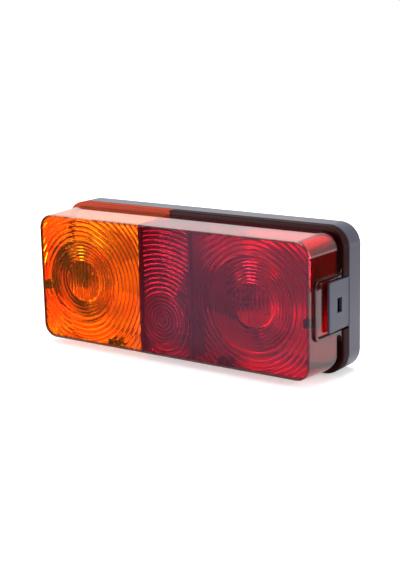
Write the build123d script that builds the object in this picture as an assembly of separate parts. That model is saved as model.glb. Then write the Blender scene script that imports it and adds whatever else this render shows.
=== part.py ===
from build123d import *
import os
from math import atan, degrees, sqrt

# Rear lamp with three chambers: indicator, tail and stop, from left to right.
# It is drawn lying on its back, in millimetres: X to the right, Y up the lamp,
# Z out of the mounting face. It is stood up, front towards -Y, when it is written.

# Outside of the lamp
WIDTH = 239.0  # over the rim of the base
HEIGHT = 101.0
DEPTH = 60.4  # mounting face to front face
RIM_CORNER = 15.0
RIM_HEIGHT = 16.2
RIM_WALL = 3.0
RIM_BACK_EDGE = 1.2
SEAM_EDGE = 0.5  # bevel that makes the thin line between base and lens
SLIDE_FIT = 0.3  # play between pieces that are put together by hand

# Base
BACK_LAND = 6.0  # band round the back that meets the vehicle
BACK_RECESS = 1.6
BACK_RIB = 3.0
FLOOR_THICK = 2.6
FLOOR_TOP = BACK_RECESS + FLOOR_THICK
LEDGE = 3.4  # width of the step that carries the seal
LEDGE_HEIGHT = 8.0

# Lens
FLANGE_HEIGHT = 7.2
FLANGE_STEP = 3.0  # flange beyond the foot of the lens wall
FLANGE_EDGE = 0.9
LENS_DRAFT = 1.5  # the wall leans in by this much up to the front face
LENS_THICK = 2.4
FACE_THICK = 3.0
FACE_EDGE = 2.4
TONGUE_END = 11.0
LENS_FOOT = RIM_HEIGHT + FLANGE_HEIGHT
LENS_WALL = DEPTH - LENS_FOOT
FACE_BACK = DEPTH - FACE_THICK
DRAFT_ANGLE = degrees(atan(LENS_DRAFT / LENS_WALL))
SEAM_X = -23.0  # where amber meets red
DIVIDER_X = 20.0  # middle of the wall between tail and stop
DIVIDER_THICK = 2.0
DIVIDER_FOOT = 34.0

# Optics on the back of the front face: places of the three light centres
INDICATOR = (-75.0, 0.0)
TAIL = (-4.5, -20.0)
STOP = (68.0, 0.0)
BOND = 0.8  # how far an optic is sunk into the face
DISC_R = 15.0
FLUTE_PITCH = 3.0
FLUTE_SAG = 0.35
RING_PITCH = 3.0
RING_DEPTH = 1.4
RING_ROOT = 0.1
CORNER_REACH = 66.0  # the outermost ring runs into the far corners
TAIL_DISC_R = 19.8
TAIL_RING_PITCH = 2.2
TAIL_RING_DEPTH = 0.7
TAIL_ARC_PITCH = 3.3
TAIL_REACH = 69.0

# Clip at each end: a tab on the base, a frame and a catch on the lens
TAB_HALF = 17.0
TAB_THICK = 2.2
TAB_INSET = 0.4
TAB_TOP = DEPTH - 19.0
WINDOW_HALF = 5.0
WINDOW_LOW = DEPTH - 35.0
WINDOW_HIGH = DEPTH - 29.0
FRAME_GAP = 1.0
FRAME_RIB = 2.5
FRAME_TOP = DEPTH - 5.0
FRAME_RISE = 1.8
FRAME_CORNER = 5.0
FRAME_FLARE = 5.5
CATCH_LENGTH = 2.4
CATCH_SINK = 0.9  # top of the catch below the outside of the tab
LUG = 4.0  # register lugs in the corners of the lens
LUG_GAP = 2.2
LUG_DEPTH = 7.0

# Reflector
MOULD_WALL = 1.6
DECK = 24.0
BOWL_LOW = 10.4
BOWL_R = 38.0
BOWL_BANDS = 4
TAIL_BOWL_R = 20.0
REFLECTOR_INSET = RIM_WALL + LEDGE + 0.6

# Bulbs and their holders, measured along the bulb from its light centre
BULB_HEIGHT = 31.0  # bulb axis above the mounting face
LARGE_GLASS_R = 12.5
LARGE_PINS = 31.8
SMALL_GLASS_R = 9.0
SMALL_PINS = 19.0
NECK_R = 6.7
NECK_FIT = 0.05
NECK_SEAT = 4.0
CAP_R = 7.5
CAP_BEFORE_PINS = 10.0
CAP_AFTER_PINS = 6.7
TIP_AFTER_PINS = 8.2
TIP_R = 3.2
PIN_R = 1.0
PIN_REACH = 8.4
SLEEVE_FIT = 0.2
SLEEVE_WALL = 0.8
SLEEVE_BEFORE_PINS = 6.5
SLEEVE_AFTER_PINS = 10.2
SLOT_WIDTH = 2.6
SLOT_TURN = 22.0
SLOT_PAST = 10.0  # the hooked end of the slot runs this far past the pin
SHEET = 1.2
PLATE_HALF = 11.0
FOOT_LENGTH = 14.0
INSULATOR_THICK = 1.6
INSULATOR_HALF = 9.0
INSULATOR_DROP = 16.0
LEAF_THICK = 0.5
LEAF_HALF = 3.15
LEAF_LOW = 9.0
BUTTON_R = 2.0
STRIP_THICK = 0.8
STRIP_HALF = 9.0
STRIP_TOP = FLOOR_TOP + STRIP_THICK
FOOT_TOP = STRIP_TOP + SHEET
RIVET_R = 1.5
RIVET_HEAD_R = 2.7
RIVET_HEAD = 1.1
RIVET_HALF_SPAN = 6.0
RIVET_BACK = 7.0
SMALL_RIVET_R = 1.2
SMALL_RIVET_HEAD_R = 2.1
SMALL_RIVET_HALF_SPAN = 6.5
SMALL_RIVET_DROP = 12.5

# Fixing and cable entry in the back wall
STUD_SPAN = 152.0
STUD_R = 3.0
STUD_NECK_R = 3.6  # plain neck that fills the hole in the back wall
STUD_FIT = 0.1
STUD_REACH = 22.0
STUD_HEAD_FLATS = 10.0
STUD_HEAD = 4.0
STUD_PAD_R = 10.0
COLLAR_R = 8.6
COLLAR_HEIGHT = 2.0
GROMMET_EDGE = 18.5  # middle of the cable entry below the top edge
GROMMET_AT = (0.0, HEIGHT / 2 - GROMMET_EDGE)
GROMMET_R = 6.5
GROMMET_LIP = 2.6
GROMMET_BORE = 3.0
GROMMET_SKIN = 1.0


def outline(inset):
    """The lamp's rounded outline, moved in by inset."""
    corner = max(RIM_CORNER - inset, 2.0)
    return RectangleRounded(WIDTH - 2 * inset, HEIGHT - 2 * inset, corner)


def slab(sketch, low, high):
    """A sketch made solid from one height to another."""
    return extrude(Pos(0, 0, low) * sketch, high - low)


def drafted(inset, high):
    """The leaning body of the lens, from its foot up to a height."""
    foot = Pos(0, 0, LENS_FOOT) * outline(inset)
    return extrude(foot, high - LENS_FOOT, taper=DRAFT_ANGLE)


def span(x_low, x_high, y_low, y_high, z_low, z_high):
    """A block between two corners."""
    size = (x_high - x_low, y_high - y_low, z_high - z_low)
    return Pos(x_low, y_low, z_low) * Box(*size, align=(Align.MIN, Align.MIN, Align.MIN))


def both_ends(shape):
    """A shape at the right end with its mirror image at the left end."""
    return shape + mirror(shape, about=Plane.YZ)


def base_housing():
    body = slab(outline(0), 0, RIM_HEIGHT)
    body = chamfer(body.faces().sort_by(Axis.Z)[0].edges(), RIM_BACK_EDGE)
    body = chamfer(body.faces().sort_by(Axis.Z)[-1].edges(), SEAM_EDGE)
    body -= slab(outline(RIM_WALL + LEDGE), FLOOR_TOP, LEDGE_HEIGHT)
    body -= slab(outline(RIM_WALL), LEDGE_HEIGHT, RIM_HEIGHT)
    recess = outline(BACK_LAND)
    recess -= Rectangle(WIDTH, BACK_RIB)
    for x in (-3 * STUD_SPAN / 8, -STUD_SPAN / 8, STUD_SPAN / 8, 3 * STUD_SPAN / 8):
        recess -= Pos(x, 0) * Rectangle(BACK_RIB, HEIGHT)
    for side in (-1, 1):
        recess -= Pos(side * STUD_SPAN / 2, 0) * Circle(STUD_PAD_R)
    body -= slab(recess, 0, BACK_RECESS)
    for side in (-1, 1):
        collar = Circle(COLLAR_R) - RegularPolygon(
            STUD_HEAD_FLATS / 2 + STUD_FIT, 6, major_radius=False
        )
        x = side * STUD_SPAN / 2
        body += Pos(x, 0, 0) * slab(collar, FLOOR_TOP, FLOOR_TOP + COLLAR_HEIGHT)
        body -= Pos(x, 0, 0) * slab(Circle(STUD_NECK_R + STUD_FIT), 0, FLOOR_TOP)
    body -= Pos(*GROMMET_AT, 0) * slab(Circle(GROMMET_R), 0, FLOOR_TOP)
    for at in rivet_places():
        body -= Pos(*at, 0) * slab(Circle(RIVET_R), 0, FLOOR_TOP)
        body -= Pos(*at, 0) * slab(Circle(RIVET_HEAD_R + SLIDE_FIT), 0, BACK_RECESS)
    outside = WIDTH / 2 - TAB_INSET
    tab = span(outside - TAB_THICK, outside, -TAB_HALF, TAB_HALF, LEDGE_HEIGHT, TAB_TOP)
    tab = fillet(tab.edges().filter_by(Axis.X).sort_by(Axis.Z)[-2:], 1.5)
    tip = tab.faces().sort_by(Axis.Z)[-1].edges().filter_by(Axis.Y)
    tab = chamfer(tip, 0.5)
    tab -= span(0, WIDTH, -WINDOW_HALF, WINDOW_HALF, WINDOW_LOW, WINDOW_HIGH)
    return body + both_ends(tab)


def sawtooth(centre, start, end, pitch, depth):
    """Prism rings round a centre, each deep at its inner side and running out at its outer side."""
    count = int((end - start) / pitch)
    points = [(start, FACE_BACK + BOND)]
    for i in range(count):
        points.append((start + i * pitch, FACE_BACK - depth))
        points.append((start + (i + 1) * pitch, FACE_BACK - RING_ROOT))
    points.append((start + count * pitch, FACE_BACK + BOND))
    profile = Plane.XZ * make_face(Polyline(*points, close=True))
    return Pos(*centre, 0) * revolve(profile, Axis.Z)


def fluted_disc(centre):
    """A round field of upright flutes that spreads the light sideways."""
    count = round(2 * DISC_R / FLUTE_PITCH)
    edge = Polyline(
        (DISC_R, FACE_BACK), (DISC_R, FACE_BACK + BOND), (-DISC_R, FACE_BACK + BOND), (-DISC_R, FACE_BACK)
    )
    for i in range(count):
        left = -DISC_R + i * FLUTE_PITCH
        middle = left + FLUTE_PITCH / 2
        edge += ThreePointArc(
            (left, FACE_BACK), (middle, FACE_BACK - FLUTE_SAG), (left + FLUTE_PITCH, FACE_BACK)
        )
    field = extrude(Plane.XZ * make_face(edge), DISC_R, both=True)
    field &= slab(Circle(DISC_R), FACE_BACK - RING_DEPTH, DEPTH)
    return Pos(*centre, 0) * field


def optics():
    """The three lens patterns, each cut off at the walls of its own chamber."""
    body = drafted(FLANGE_STEP + LENS_THICK / 2, DEPTH - FACE_THICK / 2)
    red_left = SEAM_X + DIVIDER_THICK / 2
    ends = [-WIDTH, SEAM_X, red_left, DIVIDER_X, DIVIDER_X, WIDTH]
    indicator = sawtooth(INDICATOR, DISC_R, CORNER_REACH, RING_PITCH, RING_DEPTH)
    indicator += fluted_disc(INDICATOR)
    tail = sawtooth(TAIL, 0, TAIL_DISC_R, TAIL_RING_PITCH, TAIL_RING_DEPTH)
    tail += sawtooth(TAIL, TAIL_DISC_R, TAIL_REACH, TAIL_ARC_PITCH, RING_DEPTH)
    stop = sawtooth(STOP, DISC_R, CORNER_REACH, RING_PITCH, RING_DEPTH)
    stop += fluted_disc(STOP)
    fields = []
    for i, field in enumerate((indicator, tail, stop)):
        chamber = span(ends[2 * i], ends[2 * i + 1], -HEIGHT, HEIGHT, LENS_FOOT, DEPTH)
        fields.append(field & body & chamber)
    return fields


def clip_frame():
    """The raised frame round the right-hand clip tab and the notch inside it."""
    half = TAB_HALF + FRAME_GAP + FRAME_RIB
    tall = FRAME_TOP - RIM_HEIGHT
    frame = Pos(0, RIM_HEIGHT + tall / 2) * Rectangle(2 * half, tall)
    frame = fillet(frame.vertices().sort_by(Axis.Y)[-2:], FRAME_CORNER)
    sill = 2 * (half + FRAME_FLARE + FLANGE_STEP)
    frame += Pos(0, RIM_HEIGHT + FLANGE_HEIGHT / 2) * Rectangle(sill, FLANGE_HEIGHT)
    inner = [v for v in frame.vertices() if abs(v.Y - LENS_FOOT) < 0.1 and abs(v.X) < half + 0.1]
    frame = fillet(inner, FRAME_FLARE)
    notch_top = FRAME_TOP - FRAME_RIB
    notch = Pos(0, notch_top / 2) * Rectangle(2 * (TAB_HALF + FRAME_GAP), notch_top)
    notch = fillet(notch.vertices().sort_by(Axis.Y)[-2:], FRAME_CORNER - FRAME_RIB)
    return extrude(Plane.YZ * frame, WIDTH), extrude(Plane.YZ * notch, WIDTH)


def catch():
    """The ramp on the right end of the lens that snaps into the window of the tab."""
    high = WINDOW_HIGH - SLIDE_FIT
    outer = WIDTH / 2 - TAB_INSET - CATCH_SINK
    inner = WIDTH / 2 - FLANGE_STEP - LENS_DRAFT - LENS_THICK / 2
    ramp = Polyline(
        (inner, high), (outer, high), (outer, high - CATCH_LENGTH / 3),
        (outer - TAB_THICK, high - CATCH_LENGTH), (inner, high - CATCH_LENGTH), close=True
    )
    half = WINDOW_HALF - 2 * SLIDE_FIT
    return extrude(Plane.XZ * make_face(ramp), half, both=True)


def lugs():
    """Small register lugs in the angle between the front face and the walls."""
    inside_x = WIDTH / 2 - FLANGE_STEP - LENS_DRAFT - LENS_THICK / 2
    inside_y = HEIGHT / 2 - FLANGE_STEP - LENS_DRAFT - LENS_THICK / 2
    low = FACE_BACK - LUG_DEPTH
    end = span(inside_x - LUG, inside_x, -2.5 * LUG, -LUG, low, FACE_BACK + BOND)
    group = both_ends(end)
    for x in (INDICATOR[0] + STUD_SPAN / 6, STOP[0] - STUD_SPAN / 7):
        for side in (-1, 1):
            middle = x + side * (LUG + LUG_GAP) / 2
            group += span(
                middle - LUG / 2, middle + LUG / 2, -inside_y, -inside_y + LUG, low, FACE_BACK + BOND
            )
    return group


def lenses():
    """The amber and the red moulding, welded to each other along the seam."""
    shell = drafted(FLANGE_STEP, DEPTH)
    shell = fillet(shell.faces().sort_by(Axis.Z)[-1].edges(), FACE_EDGE)
    flange = slab(outline(0), RIM_HEIGHT, LENS_FOOT)
    flange = fillet(flange.faces().sort_by(Axis.Z)[-1].edges(), FLANGE_EDGE)
    flange = chamfer(flange.faces().sort_by(Axis.Z)[0].edges(), SEAM_EDGE)
    core = shell + slab(outline(FLANGE_STEP), RIM_HEIGHT, LENS_FOOT)
    frame, notch = clip_frame()
    raised = drafted(FLANGE_STEP - FRAME_RISE, FRAME_TOP) & both_ends(frame)
    shell = core + ((flange + raised) - (both_ends(notch) - core))
    shell += slab(outline(RIM_WALL + SLIDE_FIT), TONGUE_END, RIM_HEIGHT)
    shell += both_ends(catch())
    inside = FLANGE_STEP + LENS_THICK
    shell -= drafted(inside, FACE_BACK)
    shell -= slab(outline(inside), TONGUE_END, LENS_FOOT)
    shell += lugs()
    half_height = HEIGHT / 2 - FLANGE_STEP - LENS_DRAFT - LENS_THICK / 2
    for left in (SEAM_X, DIVIDER_X - DIVIDER_THICK / 2):
        right = left + DIVIDER_THICK
        shell += span(left, right, -half_height, half_height, DIVIDER_FOOT, FACE_BACK + BOND)
    indicator, tail, stop = optics()
    amber_side = span(-WIDTH, SEAM_X, -HEIGHT, HEIGHT, 0, 2 * DEPTH)
    amber = (shell & amber_side) + indicator
    red = (shell - amber_side) + tail + stop
    return amber, red


def bowl(centre, radius):
    """A dished reflector wall round a light centre, in bands that steepen like a parabola."""
    steps = [radius * i / BOWL_BANDS for i in range(1, BOWL_BANDS + 1)]
    front = [(r, BOWL_LOW + (DECK - BOWL_LOW) * (r / radius) ** 2) for r in steps]
    back = [(r, z - MOULD_WALL) for r, z in reversed(front)]
    edge = Polyline((0, front[0][1]), *front, *back, (0, back[-1][1]), close=True)
    dish = revolve(Plane.XZ * make_face(edge), Axis.Z)
    hole = slab(Circle(radius), 0, 2 * DECK)
    return Pos(*centre, 0) * dish, Pos(*centre, 0) * hole


def reflector(seats):
    chambers = [
        (INDICATOR, BOWL_R, -WIDTH, SEAM_X),
        (TAIL, TAIL_BOWL_R, SEAM_X + DIVIDER_THICK, DIVIDER_X - DIVIDER_THICK / 2),
        (STOP, BOWL_R, DIVIDER_X + DIVIDER_THICK / 2, WIDTH),
    ]
    limit = slab(outline(REFLECTOR_INSET), 0, DIVIDER_FOOT)
    deck = slab(outline(REFLECTOR_INSET), DECK - MOULD_WALL, DECK)
    dishes = []
    for centre, radius, left, right in chambers:
        dish, hole = bowl(centre, radius)
        room = span(left, right, -HEIGHT, HEIGHT, 0, DEPTH)
        deck -= hole & room
        dishes.append(dish & room & limit)
    body = deck
    for dish in dishes:
        body += dish
    skirt = slab(outline(REFLECTOR_INSET), FLOOR_TOP, DECK)
    skirt -= slab(outline(REFLECTOR_INSET + MOULD_WALL), FLOOR_TOP, DECK)
    body += skirt
    reach = HEIGHT / 2 - REFLECTOR_INSET
    for left in (SEAM_X, DIVIDER_X - DIVIDER_THICK / 2):
        body += span(left, left + DIVIDER_THICK, -reach, reach, DECK - 6 * MOULD_WALL, DIVIDER_FOOT)
    for place, pins in seats:
        low = pins - SLEEVE_BEFORE_PINS - 5.0
        high = pins + SLEEVE_AFTER_PINS + SHEET + INSULATOR_THICK + 2 * LEAF_THICK
        side = PLATE_HALF + 2.0
        body -= place * span(low, high, -side, side, 0, DECK + 1.0)
    return body


def bulb_glass(radius, pins):
    """A blown glass ball with a straight neck, turned about the bulb axis."""
    shoulder = sqrt(radius * radius - NECK_R * NECK_R)
    end = pins - CAP_BEFORE_PINS + NECK_SEAT
    edge = ThreePointArc((-radius, 0), (0, radius), (shoulder, NECK_R))
    edge += Polyline((shoulder, NECK_R), (end, NECK_R), (end, 0), (-radius, 0))
    return Pos(0, 0, BULB_HEIGHT) * revolve(make_face(edge), Axis.X)


def bulb_cap(pins):
    """A bayonet cap with a cup for the neck, two side pins and a contact at its end."""
    mouth = pins - CAP_BEFORE_PINS
    bore = NECK_R + NECK_FIT
    edge = Polyline(
        (mouth, bore), (mouth, CAP_R), (pins + CAP_AFTER_PINS, CAP_R), (pins + TIP_AFTER_PINS, TIP_R),
        (pins + TIP_AFTER_PINS, 0), (mouth + NECK_SEAT, 0), (mouth + NECK_SEAT, bore), close=True
    )
    cap = revolve(make_face(edge), Axis.X)
    cap += Pos(pins, 0, 0) * Rot(90, 0, 0) * Cylinder(PIN_R, 2 * PIN_REACH)
    return Pos(0, 0, BULB_HEIGHT) * cap


def bulb_holder(pins):
    """A pressed bracket: bayonet sleeve, upright plate and a foot that is riveted down."""
    bore = CAP_R + SLEEVE_FIT
    start = pins - SLEEVE_BEFORE_PINS
    plate_at = pins + SLEEVE_AFTER_PINS
    ring = Circle(bore + SLEEVE_WALL) - Circle(bore)
    sleeve = extrude(Plane.YZ * ring, plate_at + SHEET - start)
    sleeve = Pos(start, 0, 0) * sleeve
    slot_end = pins - PIN_R + SLOT_WIDTH
    way_in = span(start, slot_end, -SLOT_WIDTH / 2, SLOT_WIDTH / 2, 0, 2 * bore)
    hook = Pos(slot_end - SLOT_WIDTH / 2, bore) * Rectangle(SLOT_WIDTH, bore)
    hook = Rot(SLOT_PAST, 0, 0) * revolve(hook, Axis.X, -SLOT_TURN - SLOT_PAST)
    for side in (90, -90):
        sleeve -= Rot(side - SLOT_TURN, 0, 0) * way_in
        sleeve -= Rot(side - 90, 0, 0) * hook
    drop = BULB_HEIGHT - STRIP_TOP
    plate = Circle(PLATE_HALF) + Pos(0, -drop / 2) * Rectangle(2 * PLATE_HALF, drop)
    plate -= Circle(bore)
    for side in (-1, 1):
        plate -= Pos(side * SMALL_RIVET_HALF_SPAN, -SMALL_RIVET_DROP) * Circle(SMALL_RIVET_R)
    bracket = Pos(plate_at, 0, 0) * extrude(Plane.YZ * plate, SHEET)
    holder = Pos(0, 0, BULB_HEIGHT) * (sleeve + bracket)
    foot_end = plate_at + SHEET
    holder += span(foot_end - FOOT_LENGTH, foot_end, -PLATE_HALF, PLATE_HALF, STRIP_TOP, FOOT_TOP)
    for side in (-1, 1):
        at = Pos(plate_at - RIVET_BACK, side * RIVET_HALF_SPAN, 0)
        holder -= at * slab(Circle(RIVET_R), STRIP_TOP, FOOT_TOP)
    return holder


def contact_plate(pins):
    """The insulating plate behind the bracket."""
    plate = Circle(INSULATOR_HALF)
    plate += Pos(0, -INSULATOR_DROP / 2) * Rectangle(2 * INSULATOR_HALF, INSULATOR_DROP)
    plate -= Circle(BUTTON_R + SLIDE_FIT)
    for side in (-1, 1):
        plate -= Pos(side * SMALL_RIVET_HALF_SPAN, -SMALL_RIVET_DROP) * Circle(SMALL_RIVET_R)
    at = Pos(pins + SLEEVE_AFTER_PINS + SHEET, 0, BULB_HEIGHT)
    return at * extrude(Plane.YZ * plate, INSULATOR_THICK)


def contact(pins):
    """The live contact: a leaf behind the plate with a button that meets the bulb."""
    back = pins + SLEEVE_AFTER_PINS + SHEET + INSULATOR_THICK
    low = LEAF_LOW - BULB_HEIGHT
    leaf = Circle(LEAF_HALF) + Pos(0, low / 2) * Rectangle(2 * LEAF_HALF, -low)
    leaf = Pos(back, 0, 0) * extrude(Plane.YZ * leaf, LEAF_THICK)
    tip = pins + TIP_AFTER_PINS
    button = Pos(tip, 0, 0) * extrude(Plane.YZ * Circle(BUTTON_R), back - tip)
    return Pos(0, 0, BULB_HEIGHT) * (leaf + button)


def rivet(radius, head_radius, low, high):
    """A rivet with a flat head at each end of its grip."""
    body = slab(Circle(radius), low, high)
    body += slab(Circle(head_radius), low - RIVET_HEAD, low)
    return body + slab(Circle(head_radius), high, high + RIVET_HEAD)


def rivet_places():
    """Centres of the rivets that hold the feet of the three holders."""
    places = []
    for turn, centre, pins in SEATS:
        for side in (-1, 1):
            at = Vector(pins + SLEEVE_AFTER_PINS - RIVET_BACK, side * RIVET_HALF_SPAN)
            at = at.rotate(Axis.Z, turn)
            places.append((centre[0] + at.X, centre[1] + at.Y))
    return places


def earth_strip():
    """A strip under the feet of the three holders, with an upright terminal."""
    xs = [at[0] for at in rivet_places()]
    ends = FOOT_LENGTH - RIVET_BACK
    left = min(xs) - ends
    right = max(xs) + ends
    strip = span(left, right, -STRIP_HALF, STRIP_HALF, FLOOR_TOP, STRIP_TOP)
    strip += span(12, 12 + 2 * LEAF_HALF, STRIP_HALF - STRIP_THICK, STRIP_HALF, FLOOR_TOP, 3 * FLOOR_TOP)
    for at in rivet_places():
        strip -= Pos(*at, 0) * slab(Circle(RIVET_R), FLOOR_TOP, STRIP_TOP)
    return strip


def cable_grommet():
    """A rubber grommet that grips the back wall and has a thin skin to pierce."""
    lip = GROMMET_R + GROMMET_LIP
    inner = FLOOR_TOP + GROMMET_LIP
    edge = Polyline(
        (0, FLOOR_TOP), (GROMMET_BORE, FLOOR_TOP), (GROMMET_BORE, 0.2), (lip - 1.0, 0.2), (lip, BACK_RECESS),
        (GROMMET_R, BACK_RECESS), (GROMMET_R, FLOOR_TOP), (lip, FLOOR_TOP), (lip - 1.0, inner),
        (GROMMET_BORE, inner), (GROMMET_BORE, FLOOR_TOP + GROMMET_SKIN), (0, FLOOR_TOP + GROMMET_SKIN), close=True
    )
    return Pos(*GROMMET_AT, 0) * revolve(Plane.XZ * make_face(edge), Axis.Z)


def fixing_studs():
    """Two captive bolts with their heads in the hexagon collars of the base."""
    head = slab(RegularPolygon(STUD_HEAD_FLATS / 2, 6, major_radius=False), FLOOR_TOP, FLOOR_TOP + STUD_HEAD)
    neck = slab(Circle(STUD_NECK_R), 0, FLOOR_TOP)
    shank = slab(Circle(STUD_R), -STUD_REACH, 0)
    shank = chamfer(shank.faces().sort_by(Axis.Z)[0].edges(), 0.6)
    stud = head + neck + shank
    half = STUD_SPAN / 2
    return Pos(-half, 0, 0) * stud + Pos(half, 0, 0) * stud


def lens_gasket():
    ring = outline(RIM_WALL + SLIDE_FIT) - outline(RIM_WALL + LEDGE - SLIDE_FIT)
    return slab(ring, LEDGE_HEIGHT, TONGUE_END)


# Turn of the bulb axis, light centre and distance to the pins of each bulb
SEATS = [(0, INDICATOR, LARGE_PINS), (90, TAIL, SMALL_PINS), (180, STOP, LARGE_PINS)]
NAMES = ["indicator", "tail", "stop"]
GLASS_R = [LARGE_GLASS_R, SMALL_GLASS_R, LARGE_GLASS_R]

nodes = {}
nodes["base_housing"] = base_housing()
nodes["lens_amber"], nodes["lens_red"] = lenses()
nodes["lens_gasket"] = lens_gasket()
places = [(Pos(*centre, 0) * Rot(0, 0, turn), pins) for turn, centre, pins in SEATS]
nodes["reflector"] = reflector(places)
contact_rivets = Part()
for name, radius, (place, pins) in zip(NAMES, GLASS_R, places):
    nodes["bulb_" + name] = place * bulb_glass(radius, pins)
    nodes["bulb_cap_" + name] = place * bulb_cap(pins)
    nodes["bulb_holder_" + name] = place * bulb_holder(pins)
    nodes["contact_plate_" + name] = place * contact_plate(pins)
    nodes["contact_" + name] = place * contact(pins)
    grip = pins + SLEEVE_AFTER_PINS
    small = Rot(0, 90, 0) * rivet(
        SMALL_RIVET_R, SMALL_RIVET_HEAD_R, grip, grip + SHEET + INSULATOR_THICK
    )
    for side in (-1, 1):
        at = Pos(0, side * SMALL_RIVET_HALF_SPAN, BULB_HEIGHT - SMALL_RIVET_DROP)
        contact_rivets += place * at * small
nodes["contact_rivets"] = contact_rivets
nodes["earth_strip"] = earth_strip()
foot_rivet = rivet(RIVET_R, RIVET_HEAD_R, BACK_RECESS, FOOT_TOP)
nodes["holder_rivets"] = Part() + [Pos(*at, 0) * foot_rivet for at in rivet_places()]
nodes["cable_grommet"] = cable_grommet()
nodes["fixing_studs"] = fixing_studs()

os.makedirs("parts", exist_ok=True)
for name, shape in nodes.items():
    export_step(Rot(90, 0, 0) * shape, f"parts/{name}.step")
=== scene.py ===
import math

import bpy
import numpy as np
from bpy.props import FloatProperty, FloatVectorProperty, PointerProperty
from bpy.types import NodeSocket, Operator, Panel, PropertyGroup
from mathutils import Matrix, Vector


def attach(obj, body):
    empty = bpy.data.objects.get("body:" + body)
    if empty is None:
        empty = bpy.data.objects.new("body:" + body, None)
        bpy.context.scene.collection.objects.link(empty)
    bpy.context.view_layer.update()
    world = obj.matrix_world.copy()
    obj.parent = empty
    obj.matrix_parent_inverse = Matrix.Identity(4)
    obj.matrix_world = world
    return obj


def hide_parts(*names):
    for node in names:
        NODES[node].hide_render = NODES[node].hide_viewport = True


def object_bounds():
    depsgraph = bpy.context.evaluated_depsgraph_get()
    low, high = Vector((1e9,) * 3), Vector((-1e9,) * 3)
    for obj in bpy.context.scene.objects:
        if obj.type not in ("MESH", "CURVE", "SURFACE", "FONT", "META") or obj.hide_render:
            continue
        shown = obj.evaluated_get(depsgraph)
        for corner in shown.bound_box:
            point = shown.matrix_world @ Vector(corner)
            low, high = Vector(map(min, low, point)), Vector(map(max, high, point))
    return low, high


bl_info = {
    "name": "Rear lamp cluster",
    "version": (1, 0, 0),
    "blender": (4, 5, 0),
    "location": "3D View > Sidebar > Rear Lamp",
    "description": "Dresses a rear lamp with amber and red lenses and puts it in a plain studio",
    "category": "Add Mesh",
}

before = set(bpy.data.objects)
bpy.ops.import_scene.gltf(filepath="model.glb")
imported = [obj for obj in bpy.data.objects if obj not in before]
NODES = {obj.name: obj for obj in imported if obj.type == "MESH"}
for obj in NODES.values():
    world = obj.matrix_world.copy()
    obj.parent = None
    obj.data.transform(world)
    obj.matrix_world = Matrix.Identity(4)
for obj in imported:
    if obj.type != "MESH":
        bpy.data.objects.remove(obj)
CAD_LOW, CAD_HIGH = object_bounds()
FRONT = -CAD_LOW.y  # height of the front face over the mounting face
BULBS = ("indicator", "tail", "stop")
WELD = 0.00004  # half the gap that shows where amber is welded to red
RING_STEPS = 360  # points round the optic of a large bulb
TAIL_STEPS = 480  # points round the tail optic
RING_FIELD = 0.072  # radius at which the rings of a large bulb have filled its chamber
TAIL_FIELD = 0.070  # the same for the tail bulb
QUARTER = np.linspace(0, np.pi / 2, 9)  # angles round an edge
GRAIN_DEPTH = 0.0001  # depth of the moulded grain
GLASS_END = 0.006  # from the pins of a bulb back to the end of its glass
JOIN = 1e-6  # points nearer than this are one point
SPECK = 1e-12  # smaller than any face that is kept


def colour(label, words, value):
    """A colour that the user can change, in linear light."""
    return FloatVectorProperty(
        name=label, description=words, subtype="COLOR", size=3, min=0.0, max=1.0, default=value
    )


def share(label, words, value):
    """A number from nought to one that the user can change."""
    return FloatProperty(name=label, description=words, subtype="FACTOR", min=0.0, max=1.0, default=value)


def length(label, words, value):
    """A length in metres that the user can change."""
    return FloatProperty(name=label, description=words, unit="LENGTH", subtype="DISTANCE", default=value)


def power(label, words, value):
    """The power of a soft box in watts that the user can change."""
    return FloatProperty(name=label, description=words, unit="POWER", default=value)


def degrees(label, words, value):
    """An angle that the user can change, given in degrees."""
    return FloatProperty(name=label, description=words, unit="ROTATION", default=math.radians(value))


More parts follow.
